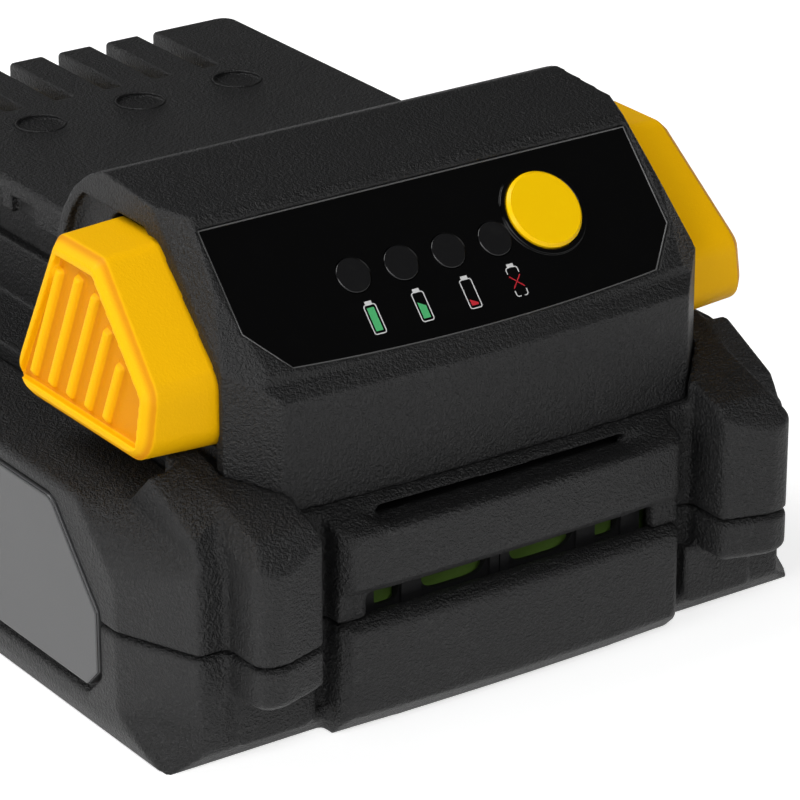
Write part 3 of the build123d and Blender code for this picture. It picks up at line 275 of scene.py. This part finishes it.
def paint_grip_shade(material):
    """Painted shade: a darker, more orange colour on the floor of the grip, between its ribs.

    There |x| + lean * z falls short of the outer face, and the surface looks sideways.
    """
    tree = material.node_tree
    shader = tree.nodes["Principled BSDF"]
    surface = shader.inputs["Base Color"].links[0].from_socket
    place = add(tree, "ShaderNodeTexCoord")
    point = add(tree, "ShaderNodeSeparateXYZ")
    normal = add(tree, "ShaderNodeSeparateXYZ")
    tree.links.new(place.outputs["Object"], point.inputs["Vector"])
    tree.links.new(place.outputs["Normal"], normal.inputs["Vector"])
    width = calculate(tree, "ABSOLUTE", point.outputs["X"])
    reach = calculate(tree, "MULTIPLY_ADD", point.outputs["Z"], grip_lean, width)
    shade_by_depth = fade(tree, reach, grip_line - grip_deep, grip_line - grip_shallow, first=1.0, last=0.0)
    shade_by_facing = fade(tree, calculate(tree, "ABSOLUTE", normal.outputs["X"]), *grip_facing)
    tint = add(tree, "ShaderNodeMix", data_type="RGBA")
    tint.inputs["B"].default_value = (*grip_shade_colour, 1)
    tree.links.new(surface, tint.inputs["A"])
    tree.links.new(calculate(tree, "MULTIPLY", shade_by_depth, shade_by_facing), tint.inputs["Factor"])
    tree.links.new(tint.outputs["Result"], shader.inputs["Base Color"])


# Black plastic of the case and the deck, and the satin of the side panels
case_black = moulded("case_black", colour=(0.0045, 0.0045, 0.0048), light=(0.024, 0.024, 0.024),
                     roughness=0.5, depth=0.36 * mm, size=2900.0, speckle=0.8, specular=0.36)
deck_black = moulded("deck_black", colour=(0.0045, 0.0045, 0.0048), light=(0.02, 0.02, 0.02),
                     roughness=0.48, depth=0.26 * mm, size=2800.0, specular=0.36)
panel_satin = moulded("panel_satin", colour=(0.045, 0.0455, 0.047), light=(0.06, 0.061, 0.063),
                      roughness=0.36, depth=0.012 * mm, size=6000.0)

# Yellow buttons
button_yellow = moulded("button_yellow", colour=(0.88, 0.46, 0.0004), light=(0.92, 0.5, 0.001),
                        roughness=0.5, depth=0.03 * mm, size=3600.0, specular=0.1)
# Painted shade: the floors of the grip's grooves get a darker orange colour
paint_grip_shade(button_yellow)
gauge_yellow = moulded("gauge_yellow", colour=(0.93, 0.56, 0.0004), light=(0.94, 0.58, 0.001),
                       roughness=0.3, depth=0.008 * mm, size=900.0, specular=0.16)

# Display: glossy sheet, the bead on its edge whose lighter grey is a painted highlight, the smoked windows
# and the inks of the icons
overlay_gloss = moulded("overlay_gloss", colour=(0.0015, 0.0015, 0.0016), light=(0.002, 0.002, 0.002),
                        roughness=0.05, depth=0.0006 * mm, size=300.0, specular=0.2, spread=0.02)
# Lighter grey of the overlay's edge bead: a painted highlight that stands in for the glint of the edge
overlay_edge_highlight = moulded("overlay_edge_highlight", colour=(0.1, 0.1, 0.1), light=(0.14, 0.14, 0.14),
                      roughness=0.18, depth=0.001 * mm, size=900.0)
lens_smoked = moulded("lens_smoked", colour=(0.006, 0.006, 0.0065), light=(0.01, 0.01, 0.01),
                      roughness=0.14, depth=0.001 * mm, size=500.0, spread=0.03)
icon_white = moulded("icon_white", colour=(0.6, 0.6, 0.6), light=(0.66, 0.66, 0.66),
                     roughness=0.35, depth=0.002 * mm, size=2000.0)
icon_green = moulded("icon_green", colour=(0.07, 0.42, 0.15), light=(0.1, 0.48, 0.19),
                     roughness=0.35, depth=0.002 * mm, size=2000.0)
icon_red = moulded("icon_red", colour=(0.5, 0.018, 0.03), light=(0.6, 0.03, 0.04),
                   roughness=0.35, depth=0.002 * mm, size=2000.0)
inks = {"icon_white": icon_white, "icon_green": icon_green, "icon_red": icon_red}

# Inside: cell sleeves and their carrier, boards with their parts, foam and film
sleeve_green = moulded("sleeve_green", colour=(0.11, 0.2, 0.035), light=(0.14, 0.25, 0.05),
                       roughness=0.35, depth=0.01 * mm, size=1200.0)
holder_black = moulded("holder_black", colour=(0.006, 0.006, 0.0065), light=(0.015, 0.015, 0.015),
                       roughness=0.6, depth=0.03 * mm, size=2200.0, specular=0.25)
board_green = moulded("board_green", colour=(0.01, 0.11, 0.045), light=(0.02, 0.16, 0.07),
                      roughness=0.35, depth=0.01 * mm, size=1500.0)
chip_black = moulded("chip_black", colour=(0.015, 0.015, 0.015), light=(0.03, 0.03, 0.03),
                     roughness=0.5, depth=0.02 * mm, size=4000.0)
light_clear = moulded("light_clear", colour=(0.75, 0.76, 0.7), light=(0.85, 0.85, 0.8),
                      roughness=0.25, depth=0.01 * mm, size=2000.0)
ribbon_amber = moulded("ribbon_amber", colour=(0.45, 0.2, 0.03), light=(0.5, 0.25, 0.05),
                       roughness=0.3, depth=0.01 * mm, size=1500.0)
foam_grey = moulded("foam_grey", colour=(0.03, 0.03, 0.03), light=(0.07, 0.07, 0.07),
                    roughness=0.9, depth=0.3 * mm, size=900.0)

# Metals
strip_nickel = moulded("strip_nickel", colour=(0.62, 0.6, 0.56), light=(0.7, 0.68, 0.64),
                       roughness=0.28, depth=0.01 * mm, size=1800.0, metallic=1.0)
contact_brass = moulded("contact_brass", colour=(0.8, 0.6, 0.28), light=(0.86, 0.7, 0.4),
                        roughness=0.25, depth=0.01 * mm, size=1800.0, metallic=1.0)
spring_steel = moulded("spring_steel", colour=(0.5, 0.5, 0.51), light=(0.6, 0.6, 0.6),
                       roughness=0.25, depth=0.01 * mm, size=1800.0, metallic=1.0)
screw_black = moulded("screw_black", colour=(0.06, 0.06, 0.062), light=(0.1, 0.1, 0.1),
                      roughness=0.35, depth=0.01 * mm, size=1800.0, metallic=1.0)

finishes = {
    "lower_shell": case_black, "upper_shell": case_black, "top_deck": deck_black,
    "side_panel_left": panel_satin, "side_panel_right": panel_satin,
    "release_button_left": button_yellow, "release_button_right": button_yellow,
    "release_spring_left": spring_steel, "release_spring_right": spring_steel,
    "display_overlay": overlay_gloss, "led_lenses": lens_smoked, "gauge_button": gauge_yellow,
    "gauge_spring": spring_steel, "gauge_switch": chip_black, "display_board": board_green,
    "display_leds": light_clear, "display_screws": screw_black, "display_ribbon": ribbon_amber,
    "main_board": board_green, "board_parts": chip_black, "board_screws": screw_black,
    "terminal_block": holder_black, "terminal_contacts": contact_brass,
    "cell_holder_left": holder_black, "cell_holder_right": holder_black,
    "cell_straps_left": strip_nickel, "cell_straps_right": strip_nickel,
    "power_tab_left": strip_nickel, "power_tab_right": strip_nickel, "foam_pad": foam_grey,
    "case_screws": screw_black, "cell_1": sleeve_green, "cell_2": sleeve_green,
    "cell_3": sleeve_green, "cell_4": sleeve_green, "cell_5": sleeve_green,
}
for node_name, material in finishes.items():
    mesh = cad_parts[node_name].data
    mesh.materials.clear()
    mesh.materials.append(material)


def soften(node_name, width):
    """Rolled edges on a plain piece: flat faces are joined first, then every sharp edge is rolled."""
    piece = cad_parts[node_name]
    weld = piece.modifiers.new("weld", "WELD")
    weld.merge_threshold = weld_distance
    flats = piece.modifiers.new("flats", "DECIMATE")
    flats.decimate_type = "DISSOLVE"
    flats.angle_limit = flat_angle
    bevel = piece.modifiers.new("edge_round", "BEVEL")
    bevel.width = width
    bevel.segments = edge_facets
    bevel.limit_method = "ANGLE"
    bevel.angle_limit = edge_angle
    bevel.use_clamp_overlap = False
    bevel.harden_normals = True


def round_off(node_name, voxel, passes, keep):
    """Moulded rounding: the skin is laid anew on a fine grid, evened out and thinned where flat."""
    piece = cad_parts[node_name]
    skin = piece.modifiers.new("skin", "REMESH")
    skin.mode = "VOXEL"
    skin.voxel_size = voxel
    skin.use_smooth_shade = True
    even = piece.modifiers.new("even", "SMOOTH")
    even.factor = skin_evening
    even.iterations = passes
    thin = piece.modifiers.new("thin", "DECIMATE")
    thin.ratio = keep


for node_name, width in edge_widths.items():
    soften(node_name, width)
for node_name, (voxel, passes, keep) in skins.items():
    round_off(node_name, voxel, passes, keep)


def on_display(across, along, lift):
    """Points on the display face: across runs to the right, along runs down, lift stands out."""
    y = display_y - along * cos(display_angle) - lift * sin(display_angle)
    z = display_z - along * sin(display_angle) + lift * cos(display_angle)
    return np.stack([across + 0 * y, y, z], axis=-1)


display_normal = on_display(0, 0, 1) - on_display(0, 0, 0)


def mesh_piece(name, points, faces, material, smooth=False):
    """Mesh object from arrays of points and faces, riding on the housing."""
    mesh = bpy.data.meshes.new(name)
    mesh.from_pydata(points.tolist(), [], [list(face) for face in faces])
    mesh.polygons.foreach_set("use_smooth", np.full(len(faces), smooth))
    mesh.update()
    mesh.materials.append(material)
    piece = bpy.data.objects.new(name, mesh)
    bpy.context.scene.collection.objects.link(piece)
    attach(piece, "housing")
    return piece


def mitres(path, closed):
    """Direction at each point of a path, halfway between its two runs, and the stretch of its mitre.

    The stretch is one over the cosine of half the turn, so that a mitred corner keeps its width.
    """
    ahead = np.roll(path, -1, axis=0) - path
    behind = path - np.roll(path, 1, axis=0)
    if not closed:
        ahead[-1] = behind[-1]
        behind[0] = ahead[0]
    ahead /= np.linalg.norm(ahead, axis=1)[:, None]
    behind /= np.linalg.norm(behind, axis=1)[:, None]
    bisector = ahead + behind
    bisector /= np.linalg.norm(bisector, axis=1)[:, None]
    return bisector, 1 / np.abs((bisector * ahead).sum(axis=1))


def stroke(path, closed):
    """Printed line along a flat path: each point steps out along its mitred normal, to both sides."""
    path = np.asarray(path, float)
    bisector, stretch = mitres(path, closed)
    normal = np.stack([-bisector[:, 1], bisector[:, 0]], axis=1)
    reach = (icon_line / 2 * stretch)[:, None]
    points = np.concatenate([path + normal * reach, path - normal * reach])
    count = len(path)
    first = np.arange(count if closed else count - 1)
    after = (first + 1) % count
    return points, np.stack([first, after, after + count, first + count], axis=1)


def patch(corners):
    """Printed four-sided area."""
    return np.array(corners), np.array([[0, 1, 2, 3]])


def icon_outline():
    """Outline of a battery: quarter circles joined by straight sides, from the top right round."""
    turn = np.linspace(0, np.pi / 2, corner_steps)
    arcs = []
    for quarter, (side, rise) in enumerate(((1, 1), (-1, 1), (-1, -1), (1, -1))):
        middle = [side * (icon_half_width - icon_corner), rise * (icon_half_height - icon_corner)]
        angle = turn + quarter * np.pi / 2
        arcs.append(middle + icon_corner * np.stack([np.cos(angle), np.sin(angle)], axis=1))
    return np.concatenate(arcs)


def cap_marks():
    """Filled cap on top of a battery."""
    top = icon_half_height + icon_cap_height
    return [("icon_white", patch([(-icon_cap_half, icon_half_height), (icon_cap_half, icon_half_height),
                                  (icon_cap_half, top), (-icon_cap_half, top)]))]


def level_marks(ink, right_share, left_share):
    """Battery with a level: its closed outline, and a fill whose top edge may lean."""
    half = icon_half_width - fill_side_lines * icon_line
    height = icon_half_height - fill_end_lines * icon_line
    fill = [(-half, -height), (half, -height), (half, right_share * height), (-half, left_share * height)]
    return [("icon_white", stroke(icon_outline(), closed=True)), (ink, patch(fill))]


def fault_marks():
    """Battery fault: four round corners, each with a straight run at both ends, and a cross."""
    marks = []
    for quarter, arc in enumerate(np.split(icon_outline(), 4)):
        side, rise = np.sign(arc[0])
        upright = [(side * icon_half_width, rise * icon_half_height * (1 - corner_side_share))]
        flat = [(side * icon_half_width * (1 - corner_end_share), rise * icon_half_height)]
        run = [upright, arc, flat] if quarter % 2 == 0 else [flat, arc, upright]
        marks.append(("icon_white", stroke(np.concatenate(run), closed=False)))
    arm = cross_share * icon_half_width
    for hand in (-1, 1):
        marks.append(("icon_red", stroke([(-arm * hand, -arm), (arm * hand, arm)], closed=False)))
    return marks


def charge_print():
    """Printed charge icons, one piece for each ink: laid out flat, then set on the display."""
    shapes = {ink: [] for ink in inks}
    icons = [level_marks(*level) for level in icon_levels] + [fault_marks()]
    for x, marks in zip(icon_places, icons):
        for ink, (flat, quads) in cap_marks() + marks:
            shapes[ink].append((on_display(x + flat[:, 0], icon_along - flat[:, 1], print_lift), quads))
    for ink, parts in shapes.items():
        places, quads = zip(*parts)
        starts = np.cumsum([0] + [len(points) for points in places])
        faces = np.concatenate([corners + start for corners, start in zip(quads, starts)])
        piece = mesh_piece(f"{ink}_print", np.concatenate(places), faces, inks[ink])
        thicken = piece.modifiers.new("ink", "SOLIDIFY")
        thicken.thickness = print_thickness


def tube_points(path, first, second):
    """Rings round a path: a point is path + first * cos + second * sin of its angle on the ring."""
    angle = np.linspace(0, 2 * np.pi, tube_sides, endpoint=False)[None, :, None]
    rings = path[:, None] + first[:, None] * np.cos(angle) + second[:, None] * np.sin(angle)
    return rings.reshape(-1, 3)


def tube_faces(rings, closed):
    """Quads between the rings of a tube, the last ring joined to the first where it is closed."""
    ring = np.arange(rings if closed else rings - 1)[:, None]
    side = np.arange(tube_sides)[None]
    here = ring * tube_sides
    there = (ring + 1) % rings * tube_sides
    after = (side + 1) % tube_sides
    return np.stack([here + side, there + side, there + after, here + after], axis=-1).reshape(-1, 4)


def coil_spring(name, node_name, start, axis, across, length, coil, wire, turns):
    """Compression spring in place of a plain sleeve: a tube whose centre is a helix round an axis.

    With t from 0 to 1 along the wire, it has gone t - sin(4 pi t) / (2 pi turns) of the way up, so
    the pitch is closest at both ends and at the middle.
    """
    start, axis, across = (np.asarray(vector, float) for vector in (start, axis, across))
    t = np.linspace(0, 1, int(turns * turn_points) + 1)
    climb = t - np.sin(4 * np.pi * t) / (2 * np.pi * turns)
    turn = 2 * np.pi * turns * t
    out = np.cos(turn)[:, None] * across + np.sin(turn)[:, None] * np.cross(axis, across)
    centre = start + (wire + climb * (length - 2 * wire))[:, None] * axis + coil * out
    tangent = np.gradient(centre, axis=0)
    tangent /= np.linalg.norm(tangent, axis=1)[:, None]
    points = tube_points(centre, wire * out, wire * np.cross(tangent, out))
    first_end = list(range(tube_sides))
    last_end = list(range(len(points) - tube_sides, len(points)))
    faces = tube_faces(len(centre), closed=False)[:, ::-1].tolist() + [first_end, last_end[::-1]]
    piece = mesh_piece(name, points, faces, spring_steel, smooth=True)
    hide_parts(node_name)
    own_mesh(piece)


def vent_sill():
    """Sill of the carrier behind the vent: level on top, rising to both ends as a high even power."""
    share = np.linspace(-1, 1, sill_points)
    top = sill_height + sill_rise * share ** sill_power
    foot = np.full(sill_points, sill_foot)
    points, faces, start = [], [], 0
    for low, high in np.concatenate([sill_spans, -sill_spans[:, ::-1]]):
        x = (low + high) / 2 + share * (high - low) / 2
        for y in (sill_front, sill_front + sill_thickness):
            for z in (foot, top):
                points.append(np.stack([x, np.full(sill_points, y), z], axis=1))
        near_foot, near_top, far_foot, far_top = start + np.arange(4 * sill_points).reshape(4, -1)
        for a, b in ((near_foot, near_top), (near_top, far_top), (far_top, far_foot), (far_foot, near_foot)):
            faces.extend(np.stack([a[:-1], a[1:], b[1:], b[:-1]], axis=1).tolist())
        faces.append([near_foot[0], near_top[0], far_top[0], far_foot[0]])
        faces.append([far_foot[-1], far_top[-1], near_top[-1], near_foot[-1]])
        start += 4 * sill_points
    mesh_piece("vent_sill", np.concatenate(points), faces, holder_black)


def bead(name, path, normal, radius, material):
    """Round bead along a closed flat path: its rings stand on the path's mitres and the face's normal."""
    bisector, stretch = mitres(path, closed=True)
    out = np.cross(bisector, normal) * (radius * stretch)[:, None]
    points = tube_points(path, out, np.broadcast_to(radius * np.asarray(normal), path.shape))
    mesh_piece(name, points, tube_faces(len(path), closed=True), material, smooth=True)


def overlay_bead():
    """Bead on the overlay's edge, its round section catching the lamps and its lighter grey a painted
    highlight: straight top and sides, cut lower corners and a foot bowed as a circle.
    """
    radius = (overlay_foot ** 2 + overlay_bulge ** 2) / (2 * overlay_bulge)
    sweep = np.linspace(-overlay_foot, overlay_foot, overlay_foot_points)
    foot = overlay_length + overlay_bulge - radius + np.sqrt(radius ** 2 - sweep ** 2)
    right = [(overlay_half, overlay_side), (overlay_half, 0)]
    left = [(-overlay_half, 0), (-overlay_half, overlay_side)]
    across, along = np.array([*right, *left, *zip(sweep, foot)]).T
    bead("overlay_bead", on_display(across, along, 0), display_normal, bead_radius, overlay_edge_highlight)


def mark_rings():
    """Raised rims of the round marks on the plate: circles of a small round section."""
    turn = np.linspace(0, 2 * np.pi, mark_points, endpoint=False)
    height = np.full(mark_points, mark_height)
    for name, (x, y) in zip(("left", "middle", "right"), mark_places):
        path = np.stack([x + mark_radius * np.cos(turn), y + mark_radius * np.sin(turn), height], axis=1)
        bead(f"mark_ring_{name}", path, (0, 0, 1), mark_wire, deck_black)


vent_sill()
overlay_bead()
mark_rings()
charge_print()
for hand, side_name in ((-1, "left"), (1, "right")):
    coil_spring(f"release_coil_{side_name}", f"release_spring_{side_name}",
                start=(hand * spring_start, *spring_line), axis=(hand, 0, 0), across=(0, 1, 0),
                length=spring_end - spring_start, coil=spring_coil, wire=spring_wire,
                turns=spring_turns)
coil_spring("gauge_coil", "gauge_spring",
            start=on_display(gauge_x, gauge_along, -gauge_spring_depth), axis=display_normal,
            across=(1, 0, 0), length=gauge_spring_length, coil=gauge_coil, wire=gauge_wire,
            turns=gauge_turns)


def lamp(name, place, power):
    """Soft square lamp that looks at the pack."""
    light = bpy.data.lights.new(name, "AREA")
    light.size = lamp_size
    light.energy = power
    holder = bpy.data.objects.new(name, light)
    bpy.context.scene.collection.objects.link(holder)
    holder.location = place
    holder.rotation_euler = (Vector(lamp_target) - Vector(place)).to_track_quat("-Z", "Y").to_euler()


def dome():
    """World that is white at the horizon and dark above it, so that the pack's top mirrors no white."""
    world = bpy.data.worlds.new("studio")
    bpy.context.scene.world = world
    world.use_nodes = True
    tree = world.node_tree
    background = tree.nodes["Background"]
    background.inputs["Color"].default_value = (1, 1, 1, 1)
    place = add(tree, "ShaderNodeTexCoord")
    split = add(tree, "ShaderNodeSeparateXYZ")
    tree.links.new(place.outputs["Generated"], split.inputs["Vector"])
    level = fade(tree, split.outputs["Z"], 0.0, dome_start, first=horizon_level, last=dome_level)
    tree.links.new(level, background.inputs["Strength"])


def floor_paper():
    """White paper that glows for the camera and in gloss and glass, and keeps the pack's shadow."""
    paper = bpy.data.materials.new("floor_paper")
    paper.use_nodes = True
    tree = paper.node_tree
    shader = tree.nodes["Principled BSDF"]
    shader.inputs["Base Color"].default_value = (floor_white, floor_white, floor_white, 1)
    shader.inputs["Roughness"].default_value = 0.9
    shader.inputs["Specular IOR Level"].default_value = 0.1
    shader.inputs["Emission Color"].default_value = (1, 1, 1, 1)
    rays = add(tree, "ShaderNodeLightPath").outputs
    seen = calculate(tree, "MAXIMUM", rays["Is Camera Ray"], rays["Is Glossy Ray"])
    seen = calculate(tree, "MAXIMUM", seen, rays["Is Transmission Ray"])
    tree.links.new(calculate(tree, "MULTIPLY", seen, floor_glow), shader.inputs["Emission Strength"])
    return paper


def studio_floor():
    """Wide flat floor under the pack."""
    half = floor_half
    mesh = bpy.data.meshes.new("floor")
    mesh.from_pydata([(-half, -half, 0), (half, -half, 0), (half, half, 0), (-half, half, 0)], [],
                     [(0, 1, 2, 3)])
    mesh.materials.append(floor_paper())
    floor = bpy.data.objects.new("floor", mesh)
    bpy.context.scene.collection.objects.link(floor)


for name, (place, power) in lamps.items():
    lamp(name, place, power)
dome()
studio_floor()

camera_data = bpy.data.cameras.new("camera")
camera_data.lens = camera_lens
camera_data.sensor_width = film_width
camera = bpy.data.objects.new("camera", camera_data)
bpy.context.scene.collection.objects.link(camera)
camera.location = camera_place
camera.rotation_euler = camera_turn
bpy.context.scene.camera = camera
bpy.context.scene.view_settings.view_transform = "Standard"
